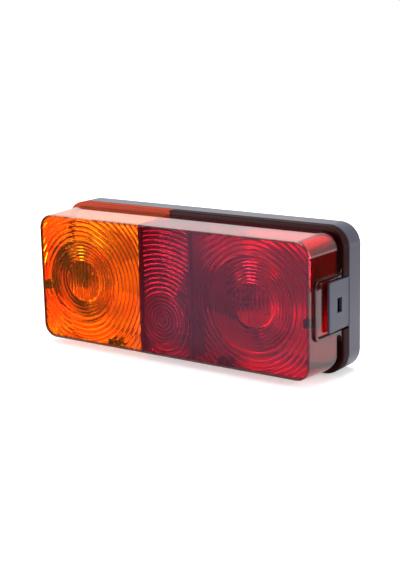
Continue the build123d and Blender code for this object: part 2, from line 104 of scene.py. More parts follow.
class LampFinish(PropertyGroup):
    """Colours and polish of the lamp's materials."""

    amber: colour("Amber", "Tint of one pass through the amber lens", (1.0, 0.295, 0.002))
    amber_deep: colour("Deep amber", "Tint of the amber lens at its foot and end wall", (0.95, 0.10, 0.001))
    red: colour("Red", "Tint of one pass through the red lens", (0.67, 0.010, 0.035))
    red_deep: colour("Deep red", "Tint of the red lens at its foot and end wall", (0.17, 0.002, 0.008))
    amber_flange: colour("Amber flange", "Colour of the frosted amber flange", (0.30, 0.024, 0.001))
    red_flange: colour("Red flange", "Colour of the frosted red flange and lugs", (0.02, 0.002, 0.003))
    amber_lug: colour("Amber lug", "Colour of the amber lugs, thick and dark", (0.05, 0.008, 0.002))
    red_wall: colour("Red wall", "Colour of the dividing walls", (0.10, 0.02, 0.025))
    lens_polish: share("Lens roughness", "Roughness of the polished lens", 0.03)
    lens_clarity: share("Lens clarity", "Share of the light that passes the plastic unscattered", 0.965)
    lens_index: FloatProperty(
        name="Lens index", description="Refractive index of the lens plastic", min=1.0, max=2.0, default=1.49
    )
    black: colour("Base black", "Colour of the black base moulding", (0.027, 0.028, 0.048))
    black_roughness: share("Base roughness", "Roughness of the black base moulding", 0.36)
    rubber: colour("Rubber", "Colour of the seal and the grommet", (0.018, 0.018, 0.018))
    silver: colour("Silvering", "Colour of the metallised reflector", (0.86, 0.86, 0.87))
    silver_roughness: share("Silvering roughness", "Roughness of the satin coat of the reflector", 0.4)
    # Painted shade: the hoods over the tail and stop holders are coloured dark where shade falls.
    hood: colour("Hood", "Colour of the dull hoods over the tail and stop bulb holders", (0.10, 0.10, 0.10))
    zinc: colour("Zinc plate", "Colour of the zinc-plated steel", (0.62, 0.62, 0.63))
    nickel: colour("Nickel plate", "Colour of the plated bulb caps", (0.66, 0.61, 0.52))
    brass: colour("Brass", "Colour of the bare brass contacts", (0.80, 0.56, 0.22))
    laminate: colour("Laminate", "Colour of the brown contact plates", (0.16, 0.07, 0.03))
    aluminium: colour("Aluminium", "Colour of the rivets", (0.34, 0.34, 0.35))
    glass: colour("Bulb glass", "Tint of the glass of the bulbs", (0.98, 0.99, 0.99))
    wire: colour("Bulb wire", "Colour of the wires in the bulbs", (0.42, 0.41, 0.40))
    stud_zinc: colour("Stud zinc", "Colour of the plated studs", (0.27, 0.27, 0.275))


class LensSizes(PropertyGroup):
    """Sizes of the two lens mouldings that are clipped over the base."""

    foot: length("Foot", "Height of the lens wall's foot over the mounting face", 0.0234)
    rim: length("Rim", "Height of the rim of the base", 0.0162)
    tongue: length("Tongue", "Height of the end of the tongue inside the rim", 0.0110)
    flange: length("Flange", "Flange beyond the foot of the wall", 0.0030)
    draft: length("Draft", "How far the wall leans in up to the front face", 0.0015)
    wall: length("Wall", "Thickness of the wall", 0.0017)
    face: length("Face", "Thickness of the front face", 0.0030)
    edge: length("Edge", "Radius round the front face", 0.0009)
    corner: length("Corner", "Radius of the corners of the flange", 0.0150)
    seam: length("Seam", "Where amber meets red", -0.0230)
    divider: length("Divider", "Middle of the wall between tail and stop", 0.0200)
    divider_wall: length("Divider wall", "Thickness of the dividing walls", 0.0012)
    groove: length("Groove", "Half the width of the groove between tail and stop", 0.00012)
    divider_root: length("Divider root", "How far the dividing walls reach into the face", 0.0022)
    divider_gap: length("Divider gap", "Plastic between the seam and the wall beside it", 0.0002)
    divider_foot: length("Divider foot", "Height of the lower edge of the dividing walls", 0.0340)
    indicator_x: length("Indicator", "Light centre of the indicator", -0.0750)
    stop_x: length("Stop", "Light centre of the stop lamp", 0.0680)
    indicator_eye: length("Indicator eye", "Middle of the rings of the indicator", -0.0766)
    stop_eye: length("Stop eye", "Middle of the rings of the stop lamp", 0.0707)
    tail_x: length("Tail across", "Light centre of the tail lamp, across", -0.0045)
    tail_z: length("Tail up", "Light centre of the tail lamp, up", -0.0200)
    disc: length("Disc", "Radius of the fluted disc", 0.0149)
    flute: length("Flute", "Pitch of the flutes", 0.0030)
    flute_sag: length("Flute sag", "Depth of the flutes", 0.0003)
    ring: length("Ring", "Pitch of the round ridges", 0.0034)
    ring_depth: length("Ring depth", "How much deeper a ridge is on its inner side", 0.0002)
    bulge: length("Bulge", "Swell of the ridges", 0.00045)
    inner_ring: length("Inner ring", "Pitch of the prisms next to the disc", 0.0024)
    inner_depth: length("Inner ring depth", "Depth of the prisms next to the disc", 0.0016)
    inner_bulge: length("Inner bulge", "Swell of the prisms next to the disc", 0.0001)
    collar: length("Collar depth", "Depth of the ridge that surrounds the inner prisms", 0.0016)
    inner_reach: length("Inner reach", "Outer radius of the fine prisms of the indicator lens", 0.0269)
    stop_reach: length("Stop reach", "Outer radius of the fine prisms of the stop lens", 0.0313)
    tail_disc: length("Tail disc", "Radius of the dotted tail disc", 0.0196)
    tail_ring: length("Tail ring", "Pitch of the rings of dots on the tail disc", 0.0028)
    tail_dot: length("Tail dot", "Pitch of the dots along a ring", 0.0017)
    tail_depth: length("Tail depth", "Depth of the dots on the tail disc", 0.0010)
    tail_rise: length("Tail rise", "How much deeper a ridge of the tail is on its inner side", 0.0005)
    tail_swell: length("Tail swell", "Swell of the ridges of the tail", 0.00035)
    tail_arc: length("Tail arc", "Pitch of the prisms round the tail disc", 0.0033)
    lug: length("Lug", "Width of the register lugs in the corner of wall and face", 0.0040)
    lug_gap: length("Lug gap", "Gap between a pair of lugs", 0.0022)
    lug_depth: length("Lug depth", "How far the lugs stand in from the back of the face", 0.0070)
    catch_high: length("Catch", "Height of the flat side of the catch", 0.0311)
    catch_long: length("Catch length", "Length of the catch and its ramp", 0.0024)
    catch_half: length("Catch half", "Half the width of the catch", 0.0044)
    catch_sink: length("Catch sink", "How far the catch stays inside the flange", 0.0013)
    gate: length("Gate mark", "Radius of the gate mark on a disc", 0.0013)
    tab: length("Tab", "Half the width of the clip tab", 0.0170)
    frame_gap: length("Frame gap", "Room between the tab and the frame", 0.0010)
    frame_rib: length("Frame rib", "Width of the frame's rib", 0.0025)
    frame_rise: length("Frame rise", "Height of the frame over the wall", 0.0018)
    frame_top: length("Frame top", "Height of the top of the frame", 0.0554)
    frame_flare: length("Frame flare", "Radius at the foot of the frame", 0.0055)


class FittingSizes(PropertyGroup):
    """Sizes of the bulbs, their hoods and the coat behind the lens, and of the studs at the back."""

    bulb_height: length("Bulb height", "Height of the bulb axes over the mounting face", 0.0310)
    large_glass: length("Large bulb", "Radius of the glass of the large bulbs", 0.0125)
    large_pins: length("Large pins", "From the light centre to the pins of the large bulbs", 0.0318)
    small_glass: length("Small bulb", "Radius of the glass of the tail bulb", 0.0090)
    small_pins: length("Small pins", "From the light centre to the pins of the tail bulb", 0.0190)
    neck: length("Neck", "Radius of the neck of the glass", 0.0067)
    glass_wall: length("Glass wall", "Thickness of the glass", 0.0007)
    wire: length("Wire", "Radius of the wires in a bulb", 0.0002)
    deck: length("Deck", "Height of the reflector's deck, on which the hoods stand", 0.0240)
    # The next three sizes place an oval of painted shade on the reflector coat, left of the indicator bulb.
    painted_shade_offset: length("Scorch", "How far beside the indicator bulb the coat is dulled by heat", 0.0265)
    painted_shade_half_width: length("Scorch half", "Half the width of the dulled coat", 0.0105)
    painted_shade_half_height: length("Scorch tall", "Half the height of the dulled coat", 0.0165)
    hood_half: length("Hood half", "Half the width of the hood over a bulb holder", 0.0138)
    hood_top: length("Hood top", "Height of the top of the hood", 0.0425)
    stud_span: length("Stud span", "Distance between the studs", 0.1520)
    stud_radius: length("Stud radius", "Radius over the thread of a stud", 0.0030)
    stud_neck: length("Stud neck", "Radius of the plain neck in the back wall", 0.0036)
    stud_pitch: length("Thread pitch", "Pitch of the thread", 0.0010)
    stud_flats: length("Stud head", "Width of the head over its flats", 0.0100)
    floor_top: length("Back wall", "Height of the inside of the back wall", 0.0042)


class StudioSettings(PropertyGroup):
    """Light and camera of the plain studio."""

    surround: share("Surround", "Brightness of the pale studio walls on the lamp", 0.75)
    left_power: power("Left light", "Power of the soft box low at the front left", 32.0)
    top_power: power("Top light", "Power of the soft box high up", 19.0)
    right_power: power("Right light", "Power of the soft box at the right", 9.5)
    back_power: power("Back light", "Power of the soft box behind at the left", 0.8)
    camera_azimuth: degrees("Azimuth", "Turn of the camera from the front to the right", 36.117)
    camera_elevation: degrees("Elevation", "Height of the camera over the horizon", 13.004)
    camera_roll: degrees("Roll", "Lean of the camera", -1.36)
    camera_place: FloatVectorProperty(
        name="Camera place", description="Where the camera stands", unit="LENGTH", size=3,
        default=(0.5203, -0.7329, 0.2017)
    )
    camera_lens: FloatProperty(
        name="Lens", description="Focal length of the camera in millimetres", default=80.05
    )


def feed(tree, node, inputs):
    """Sets each input of a node to its value, or joins it to an output socket."""
    for name, value in inputs.items():
        if isinstance(value, NodeSocket):
            tree.links.new(value, node.inputs[name])
        else:
            node.inputs[name].default_value = value


def add_node(tree, kind, inputs=None, **settings):
    """A new node with its settings made and its inputs fed."""
    node = tree.nodes.new(kind)
    for name, value in settings.items():
        setattr(node, name, value)
    feed(tree, node, inputs or {})
    return node


def maths(tree, operation, *values):
    """Output of a Math node over numbers and sockets."""
    return add_node(tree, "ShaderNodeMath", dict(enumerate(values)), operation=operation).outputs["Value"]


def vector_maths(tree, operation, *values):
    """Output of a Vector Math node over vectors and sockets."""
    node = add_node(tree, "ShaderNodeVectorMath", dict(enumerate(values)), operation=operation)
    return node.outputs["Value" if operation in ("LENGTH", "DOT_PRODUCT") else "Vector"]


def map_range(tree, value, start=(0.0, 1.0), end=(0.0, 1.0), soft=False):
    """Output of a Map Range node from one span to another, eased at both ends where it is soft."""
    inputs = {"Value": value, "From Min": start[0], "From Max": start[1], "To Min": end[0], "To Max": end[1]}
    ease = "SMOOTHSTEP" if soft else "LINEAR"
    return add_node(tree, "ShaderNodeMapRange", inputs, interpolation_type=ease).outputs["Result"]


def mix_colours(tree, factor, first, second, blend="MIX"):
    """Output of a Mix node over two colours or sockets."""
    inputs = {"Factor": factor}
    for name, value in (("A", first), ("B", second)):
        inputs[name] = value if isinstance(value, NodeSocket) else (*value, 1)
    return add_node(tree, "ShaderNodeMix", inputs, data_type="RGBA", blend_type=blend).outputs["Result"]


def object_place(tree):
    """Output of the place on the object, in metres."""
    return add_node(tree, "ShaderNodeTexCoord").outputs["Object"]


def new_group(name, kind, socket, inputs, outputs):
    """An empty node group with named sockets of one type, its input node and its output node."""
    group = bpy.data.node_groups.new(name, kind)
    for in_out, labels in (("INPUT", inputs), ("OUTPUT", outputs)):
        for label in labels:
            group.interface.new_socket(label, in_out=in_out, socket_type=socket)
    return group, group.nodes.new("NodeGroupInput"), group.nodes.new("NodeGroupOutput")


def moulding_grain():
    """Node group: fine spark-eroded grain of a moulded part, as a height and a slow mottling mask."""
    name = "moulding_grain"
    if name in bpy.data.node_groups:
        return bpy.data.node_groups[name]
    group, start, end = new_group(
        name, "ShaderNodeTree", "NodeSocketFloat", ["Grain size"], ["Height", "Mottle"]
    )
    place = object_place(group)
    for label, scale, detail in (("Height", start.outputs["Grain size"], 3.0), ("Mottle", 35.0, 2.0)):
        noise = add_node(group, "ShaderNodeTexNoise", {"Vector": place, "Scale": scale, "Detail": detail})
        feed(group, end, {label: noise.outputs["Fac"]})
    return group


def grain(tree, size):
    """Outputs of the moulding grain, placed in a material."""
    return add_node(tree, "ShaderNodeGroup", {"Grain size": size}, node_tree=moulding_grain()).outputs


def new_material(name):
    """An empty material, its node tree and its surface shader."""
    material = bpy.data.materials.new(name)
    material.use_nodes = True
    tree = material.node_tree
    return material, tree, tree.nodes["Principled BSDF"]


def mottled_material(
    name, tint, roughness, metallic=0.0, grain_size=1800.0, spread=0.25, bump=0.0, specular=0.5
):
    """A surface whose brightness and roughness wander a little, with a fine moulded or rolled grain."""
    material, tree, shader = new_material(name)
    pattern = grain(tree, grain_size)
    dark, pale = ([min(1.0, c * level) for c in tint] for level in (1 - spread, 1 + spread))
    feed(tree, shader, {
        "Base Color": mix_colours(tree, pattern["Mottle"], dark, pale),
        "Roughness": map_range(tree, pattern["Mottle"], end=(roughness * 0.85, min(1.0, roughness * 1.15))),
        "Metallic": metallic,
        "Specular IOR Level": specular,
    })
    if bump:
        relief = {"Strength": bump, "Distance": GRAIN_DEPTH, "Height": pattern["Height"]}
        feed(tree, shader, {"Normal": add_node(tree, "ShaderNodeBump", relief).outputs["Normal"]})
    return material


def clear_material(name, tint, roughness, index):
    """Clear glass that refracts what is behind it."""
    material, tree, shader = new_material(name)
    feed(tree, shader, {
        "Base Color": (*tint, 1), "Roughness": roughness, "IOR": index, "Transmission Weight": 1.0,
    })
    return material


def silvered_material(name, tint, roughness, left, right, painted_shade_offset, wide, tall):
    """Moulding with a satin bright coat in the two large chambers, left a dull grey in the tail chamber
    between, and darkened in an oval beside the indicator bulb as painted shade."""
    material = mottled_material(name, tint, roughness, metallic=0.7, spread=0.03)
    tree = material.node_tree
    shader = tree.nodes["Principled BSDF"]
    bright, dull = shader.inputs["Base Color"].links[0].from_socket, (0.03, 0.03, 0.032)
    place = object_place(tree)
    across = add_node(tree, "ShaderNodeSeparateXYZ", {"Vector": place}).outputs["X"]
    chamber = maths(tree, "COMPARE", across, (left + right) / 2, (right - left) / 2)
    # Painted shade: the coat is darkened inside an oval beside the indicator bulb, with a soft edge.
    away = vector_maths(tree, "SUBTRACT", place, (painted_shade_offset, 0.0, 0.0))
    oval = vector_maths(tree, "MULTIPLY", away, (1 / wide, 0.0, 1 / tall))
    painted_shade_oval = map_range(tree, vector_maths(tree, "LENGTH", oval), (1.1, 0.9), soft=True)
    # Dark in the tail chamber's dull grey coat and in the oval of painted shade.
    dulled = maths(tree, "MAXIMUM", chamber, painted_shade_oval)
    feed(tree, shader, {"Base Color": mix_colours(tree, dulled, bright, dull)})
    return material


def flange_material(name, tint, index):
    """Tinted plastic of flanges, lugs and dividing walls, too thick or too frosted to look through."""
    material = mottled_material(name, tint, roughness=0.3, spread=0.1, specular=0.0)
    tree = material.node_tree
    feed(tree, tree.nodes["Principled BSDF"], {"IOR": index, "Transmission Weight": 0.15})
    return material


def lens_material(name, tint, deep, finish, foot, end_wall):
    """Clear tinted plastic: full of colour at the foot and in the end walls, lighter in the face, with a slow
    wandering of the pigment and of the polish."""
    material, tree, shader = new_material(name)
    pattern = grain(tree, size=400.0)
    parts = add_node(tree, "ShaderNodeSeparateXYZ", {"Vector": object_place(tree)}).outputs
    below, above, before = 0.001, 0.003, 0.0015  # how far the deep colour fades at the foot and the end wall
    over_foot = map_range(tree, parts["Y"], (-foot + below, -foot - above), soft=True)
    across = maths(tree, "ABSOLUTE", parts["X"])
    before_end = map_range(tree, across, (end_wall - before, end_wall), (1.0, 0.0), soft=True)
    pigment = mix_colours(tree, maths(tree, "MULTIPLY", over_foot, before_end), deep, tint)
    flow = map_range(tree, pattern["Mottle"], end=(0.94, 1.06))
    polish = (finish.lens_polish * 0.6, finish.lens_polish * 1.4)
    feed(tree, shader, {
        "Base Color": mix_colours(tree, 1.0, pigment, flow, "MULTIPLY"),
        "Roughness": map_range(tree, pattern["Height"], end=polish),
        "IOR": finish.lens_index,
        "Transmission Weight": finish.lens_clarity,
    })
    return material


def smooth_curves():
    """Node tree that joins loose triangles and shades them smooth, with sharp edges left sharp."""
    name = "smooth_curves"
    if name in bpy.data.node_groups:
        return bpy.data.node_groups[name]
    tree, start, end = new_group(
        name, "GeometryNodeTree", "NodeSocketGeometry", ["Geometry"], ["Geometry"]
    )
    angle = add_node(tree, "GeometryNodeInputMeshEdgeAngle").outputs["Unsigned Angle"]
    sharp = add_node(
        tree, "FunctionNodeCompare", {"A": angle, "B": math.radians(24)},
        data_type="FLOAT", operation="GREATER_THAN"
    ).outputs["Result"]
    shape = start.outputs["Geometry"]
    for kind, inputs, settings in (
        ("GeometryNodeMergeByDistance", {"Distance": JOIN}, {}),
        ("GeometryNodeSetShadeSmooth", {}, {"domain": "FACE"}),
        ("GeometryNodeSetShadeSmooth", {"Selection": sharp, "Shade Smooth": False}, {"domain": "EDGE"}),
    ):
        shape = add_node(tree, kind, {"Geometry": shape, **inputs}, **settings).outputs["Geometry"]
    feed(tree, end, {"Geometry": shape})
    return tree


def dress(node, material):
    """Gives a node of the part its material and smooth curved surfaces."""
    piece = NODES[node]
    piece.data.materials.clear()
    piece.data.materials.append(material)
    smooth_finish(piece)


def smooth_finish(piece):
    """Smooth shading of curved surfaces by two modifiers, with flat faces kept flat."""
    curves = piece.modifiers.new("smooth_curves", "NODES")
    curves.node_group = smooth_curves()
    weight = piece.modifiers.new("flat_faces_flat", "WEIGHTED_NORMAL")
    weight.mode = "FACE_AREA"
    weight.weight = 100
    weight.keep_sharp = True


def quads(points, flip=False):
    """Corner numbers of the squares of a grid of points."""
    rows, cols = points.shape[:2]
    i = np.arange(rows * cols).reshape(rows, cols)
    faces = np.stack([i[:-1, :-1], i[:-1, 1:], i[1:, 1:], i[1:, :-1]], -1).reshape(-1, 4)
    return faces[:, ::-1] if flip else faces


def lay(x, z, height):
    """Points of the row from across, up and height over the mounting face, in metres."""
    x, z, height = np.broadcast_arrays(x, z, height)
    return np.stack([x, -height, z], -1)


def polar(centre, radius, angle, height):
    """Points round a centre: across and up are the radius times the cosine and the sine of the angle."""
    return lay(centre[0] + radius * np.cos(angle), centre[1] + radius * np.sin(angle), height)


def full_turn(steps):
    """Angles of a full turn in equal steps, with the first place again at the end."""
    return np.linspace(0, 2 * np.pi, steps + 1)


class Patchwork:
    """Grids and flat faces that are gathered into one mesh."""

    def __init__(self):
        self.points, self.faces, self.skins, self.count = [], [], [], 0

    def grid(self, points, flip=False, skin=0):
        """Adds a grid of points, without the squares that have shrunk to nothing. skin is the number of the
        material, one for all squares or one for each row of them."""
        flat = points.reshape(-1, 3)
        faces = quads(points, flip)
        corners = flat[faces]
        area = np.cross(corners[:, 2] - corners[:, 0], corners[:, 3] - corners[:, 1])
        kept = np.linalg.norm(area, axis=1) > SPECK
        rows, cols = points.shape[:2]
        numbers = np.repeat(np.broadcast_to(skin, rows - 1), cols - 1)
        self.skins.extend(numbers[kept].tolist())
        self.faces.extend((faces[kept] + self.count).tolist())
        self.points.append(flat)
        self.count += len(flat)

    def flat_face(self, points, flip=False):
        """Adds one flat face with these corners in order."""
        order = list(range(self.count, self.count + len(points)))
        self.faces.append(order[::-1] if flip else order)
        self.skins.append(0)
        self.points.append(points)
        self.count += len(points)

    def box(self, low, high, skin):
        """Adds a closed box between two corners given as across, up and height."""
        corner = np.array([low, high])
        for axis in range(3):
            first, second = (a for a in range(3) if a != axis)
            for side in (0, 1):
                p = np.empty((2, 2, 3))
                p[..., axis] = corner[side, axis]
                p[..., first] = corner[:, first][:, None]
                p[..., second] = corner[:, second][None, :]
                self.grid(lay(p[..., 0], p[..., 1], p[..., 2]), (side == 1) != (axis == 1), skin)

    def piece(self, name, *materials):
        """Makes the mesh and its object."""
        mesh = bpy.data.meshes.new(name)
        mesh.from_pydata(np.concatenate(self.points).tolist(), [], self.faces)
        for material in materials:
            mesh.materials.append(material)
        mesh.polygons.foreach_set("material_index", self.skins)
        made = bpy.data.objects.new(name, mesh)
        bpy.context.collection.objects.link(made)
        smooth_finish(made)
        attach(made, "root")
        return made


def lean(size, height):
    """How far the wall leans in at a height: the draft times the share of the way up from the foot."""
    return size.draft * (height - size.foot) / (FRONT - size.foot)


def face_back(size):
    """Height of the back of the front face."""
    return FRONT - size.face


def outline_path(size, side):
    """Places, outward directions and notch marks round one end of the lamp, from the seam at the top
    to the seam at the bottom. The path is the rounded rectangle of the flange; a point moved in by an
    inset is the place less the inset times the direction."""
    half_w, half_h, r = CAD_HIGH.x, CAD_HIGH.z, size.corner
    notch, seam = size.tab + size.frame_gap, [size.seam + side * WELD]
    middle_x, middle_z = side * (half_w - r), half_h - r
    arc = np.linspace(0, np.pi / 2, 13)
    s, c = np.sin(arc), np.cos(arc)
    end_x, end_z = np.full(4, side * half_w), [notch, notch, -notch, -notch]
    x = np.concatenate([seam, middle_x + side * r * s, end_x, middle_x + side * r * c, seam])
    z = np.concatenate([[half_h], middle_z + r * c, end_z, -middle_z - r * s, [-half_h]])
    nx = np.concatenate([[0], side * s, np.full(4, side), side * c, [0]])
    nz = np.concatenate([[1], c, np.zeros(4), -s, [-1]])
    inside = np.zeros(len(x), bool)
    inside[len(arc) + 2:len(arc) + 4] = True
    return x, z, nx, nz, inside


def wall_profile(size, join):
    """Inset and height of the wall's cross-section, from the inner side at the face round the tongue and
    the flange up to the edge of the front face, and which points belong to the flange."""
    tongue, bevel, soft = 0.0033, 0.0005, 0.0009
    edge_h = FRONT - size.edge + size.edge * np.sin(QUARTER)
    edge_in = size.flange + lean(size, FRONT - size.edge) + size.edge * (1 - np.cos(QUARTER))
    soft_h = size.foot - soft + soft * np.sin(QUARTER[::2])
    soft_in = soft * (1 - np.cos(QUARTER[::2]))
    inside = size.flange + size.wall
    inset = np.concatenate([
        [inside + lean(size, join), inside, inside, tongue, tongue, bevel, 0.0],
        soft_in, [size.flange], edge_in,
    ])
    height = np.concatenate([
        [join, size.foot, size.tongue, size.tongue, size.rim, size.rim, size.rim + bevel],
        soft_h, [size.foot], edge_h,
    ])
    flange = np.zeros(len(inset), bool)
    flange[5:7 + len(soft_in)] = True
    return inset, height, flange


def reach(centre, angle, left, right, half, corner_left, corner_right):
    """Distance from a light centre to the walls of its chamber at each angle: the nearest of the four
    straight walls, or the round corner where the ray runs into one. Also tells which rays end at the left
    or the right."""
    c, s = np.cos(angle), np.sin(angle)
    c, s = (np.where(np.abs(part) < 1e-9, 1e-9, part) for part in (c, s))
    to_side = np.where(c > 0, right - centre[0], centre[0] - left) / np.abs(c)
    to_top = np.where(s > 0, half - centre[1], half + centre[1]) / np.abs(s)
    far = np.minimum(to_side, to_top)
    at_side = to_side < to_top
    for side, limit, radius in ((-1, left, corner_left), (1, right, corner_right)):
        for up in (-1, 1):
            ax = limit - side * radius - centre[0]
            az = up * (half - radius) - centre[1]
            in_corner = (side * (far * c - ax) > 0) & (up * (far * s - az) > 0) & (radius > 0)
            along = c * ax + s * az
            hit = along + np.sqrt(np.maximum(along**2 - ax**2 - az**2 + radius**2, 0))
            far = np.where(in_corner, hit, far)
    return far, at_side


def prism_row(start, count, pitch, depth, bulge):
    """Radius and drop of a row of ring prisms. Each has a steep riser on its inner side, a small round
    tip and a facet that runs out to the face: drop = depth * (1 - s) + bulge * 4 s (1 - s), with s from
    nought to one over the facet. depth holds one value for each ring."""
    s = np.array([0.0, 0.2, 0.4, 0.6, 0.8, 1.0])
    across = np.concatenate([[0.0, 0.02, 0.06], 0.1 + 0.9 * s])
    fall = np.concatenate([[0.0, 0.88, 0.985], 1 - s])
    swell = np.concatenate([[0, 0, 0], 4 * s * (1 - s)])
    radius = start + (np.arange(count)[:, None] + across) * pitch
    drop = depth[:, None] * fall + bulge * swell
    return radius.ravel(), drop.ravel()


def optic(patch, size, centre, walls, corners, radius, drop, floor_drop, ends, steps):
    """One chamber's field of rings on the back of the front face: a polar grid in which the radius is held at
    the chamber's limit and the drop is that of the ring there. Its last row goes to the given height at the
    left, at the right and at the other limits, where it meets a wall, the seam or a groove."""
    back = face_back(size)
    angle = full_turn(steps)
    far, at_side = reach(centre, angle, *walls, *corners)
    r = np.minimum(radius[:, None], far)
    at_wall = np.interp(far, radius, drop)[None, :]
    fall = np.where(radius[:, None] < far, drop[:, None], at_wall)
    first = floor_drop(r[0] * np.cos(angle))[None, :]
    side = np.where(np.cos(angle) < 0, ends[0], ends[1])
    last = np.where(at_side, side, ends[2])[None, :]
    height = np.concatenate([back - first, back - fall, last])
    patch.grid(polar(centre, np.concatenate([r[:1], r, far[None, :]]), angle, height))


def flute_drop(size):
    """Drop of the flutes at a place across: sag * (1 - t squared), with t from -1 to 1 over a flute."""
    return lambda x: size.flute_sag * (1 - (2 * ((x / size.flute) % 1.0) - 1) ** 2)


def fluted_disc(patch, size, centre):
    """The round field of upright flutes: columns with the drop of the flutes, which end at the points of the
    first ring round them."""
    x = -size.disc * np.cos(np.linspace(0, np.pi, RING_STEPS // 2 + 1))[:, None]
    z = np.sqrt(np.maximum(size.disc**2 - x**2, 0)) * np.linspace(-1, 1, 9)[None, :]
    patch.grid(lay(centre[0] + x, centre[1] + z, face_back(size) - flute_drop(size)(x)))


def clip_frame(patch, size, side):
    """The raised frame round a clip tab: a closed band between an inner and an outer path on the end wall,
    with rounded shoulders, that starts in a flare on the flange."""
    r_in, r_out, flare = 0.0025, 0.005, size.frame_flare
    inner = size.tab + size.frame_gap
    outer = inner + size.frame_rib
    low, high = size.foot, size.frame_top
    in_top = high - size.frame_rib
    s, c, count = np.sin(QUARTER), np.cos(QUARTER), len(QUARTER)

    def whole(z, other_z, h, other_h):
        """Both halves of a path, from its foot at one side to its foot at the other."""
        z, h = np.append(z, other_z), np.append(h, other_h)
        return np.append(z, -z[::-1]), np.append(h, h[::-1])

    out_z, out_h = whole(
        outer + flare - flare * s, outer - r_out + r_out * c,
        low + flare - flare * c, high - r_out + r_out * s
    )
    in_z, in_h = whole(
        np.full(count, inner), inner - r_in + r_in * c,
        np.linspace(low, low + flare, count), in_top - r_in + r_in * s
    )
    along = np.array([0.0, 0.0, 0.04, 0.12, 0.88, 0.96, 1.0, 1.0, 0.0])[:, None]
    rise = np.array([-0.3, 0.8, 0.95, 1.0, 1.0, 0.95, 0.8, -0.3, -0.3])[:, None] * size.frame_rise
    z = in_z + along * (out_z - in_z)
    h = in_h + along * (out_h - in_h)
    band = lay(side * (CAD_HIGH.x - size.flange - lean(size, h) + rise), z, h)
    patch.grid(band, flip=side > 0)
    patch.flat_face(band[:-1, 0], flip=side > 0)
    patch.flat_face(band[:-1, -1], flip=side < 0)


def lens_shell(patch, size, side, join):
    """Wall, flange, tongue and front face of one moulding: the wall's cross-section carried round the
    outline, the flange left out where the clip tab stands, and flat faces at the front and the seam."""
    x, z, nx, nz, notch = outline_path(size, side)
    inset, height, flange = wall_profile(size, join)
    cut = np.maximum(inset, size.flange)[:, None]
    inset = np.where(flange[:, None] & notch[None, :], cut, inset[:, None])
    shell = lay(x - inset * nx, z - inset * nz, height[:, None])
    patch.grid(shell, flip=side > 0, skin=flange[:-1].astype(int))
    patch.flat_face(shell[-1], flip=side > 0)
    patch.flat_face(shell[:, 0], flip=side > 0)
    patch.flat_face(shell[:, -1], flip=side < 0)


def lugs(patch, size, side, pair_x, half_w, half_h, skin):
    """The register lugs in the angle of wall and face: one at the end wall, a pair at the bottom wall."""
    back, lug, sunk = face_back(size), size.lug, 0.0003
    low = back - size.lug_depth
    ends = sorted((side * (half_w - lug), side * (half_w + sunk)))
    patch.box((ends[0], -2.5 * lug, low), (ends[1], -lug, back), skin)
    for step in (-1, 1):
        middle = pair_x + step * (lug + size.lug_gap) / 2
        patch.box((middle - lug / 2, -half_h - sunk, low), (middle + lug / 2, -half_h + lug, back), skin)


def catch(patch, size, side):
    """The ramp that snaps into the window of the tab: a five-sided profile carried across the end wall."""
    outer, slope = CAD_HIGH.x - size.catch_sink, 0.0022
    inner = CAD_HIGH.x - size.flange - size.wall / 2
    high, low = size.catch_high, size.catch_high - size.catch_long
    x = np.array([inner, outer, outer, outer - slope, inner, inner]) * side
    h = np.array([high, high, high - size.catch_long / 3, low, low, high])
    z = np.array([-size.catch_half, size.catch_half])
    ramp = lay(x[:, None], z[None, :], h[:, None])
    patch.grid(ramp, flip=side < 0)
    for column in (0, 1):
        patch.flat_face(ramp[:-1, column], flip=(side < 0) != (column == 1))


def gate_mark(patch, size, centre):
    """The small ring left at the middle of a disc: a round bead carried round a circle."""
    thick = 0.00028
    turn, bead = full_turn(32)[:, None], full_turn(8)[None, :]
    height = face_back(size) - size.flute_sag + thick * np.sin(bead)
    patch.grid(polar(centre, size.gate + thick * np.cos(bead), turn, height))


def inner_limits(size, join):
    """Half width, half height and corner radius of the room inside the walls at the joint with the face."""
    inset = size.flange + size.wall + lean(size, join)
    return CAD_HIGH.x - inset, CAD_HIGH.z - inset, size.corner - inset


def bull_eye(patch, size, x, fine_reach, walls, corners, ends):
    """The optic of a large bulb: a fluted disc, fine ring prisms next to it, a deeper collar round them and
    round ridges beyond."""
    centre = (x, 0.0)
    inner = round((fine_reach - size.disc) / size.inner_ring)
    outer = math.ceil((RING_FIELD - fine_reach) / size.ring)
    fine = (fine_reach - size.disc) / inner
    r1, d1 = prism_row(size.disc, inner, fine, np.full(inner, size.inner_depth), size.inner_bulge)
    depth = np.where(np.arange(outer) == 0, size.collar, size.ring_depth)
    r2, d2 = prism_row(fine_reach, outer, size.ring, depth, size.bulge)
    radius, drop = np.append(r1, r2), np.append(d1, d2)
    optic(patch, size, centre, walls, corners, radius, drop, flute_drop(size), ends, RING_STEPS)
    fluted_disc(patch, size, centre)
    gate_mark(patch, size, centre)


def dotted_disc(patch, size, centre):
    """The disc of the tail bulb: a flat disc with rings of small dots. The drop of a dot is its depth times
    one less the square of the place across it, times half of one less the cosine of the turn along the
    ring."""
    dot = 0.45
    rows = np.array([-1.0, -dot, -0.18, 0.18, dot, 1.0])
    count = round(size.tail_disc / size.tail_ring)
    ring = np.repeat(np.arange(count), len(rows))[:, None]
    across = np.tile(rows, count)[:, None]
    angle = full_turn(TAIL_STEPS)[None, :]
    r = (ring + (across + 1) / 2) * size.tail_ring
    dots = np.round(2 * np.pi * (ring + 0.5) * size.tail_ring / size.tail_dot)
    drop = size.tail_depth * np.clip(1 - (across / dot)**2, 0, 1) * (1 - np.cos(angle * dots)) / 2
    patch.grid(polar(centre, r, angle, face_back(size) - drop))


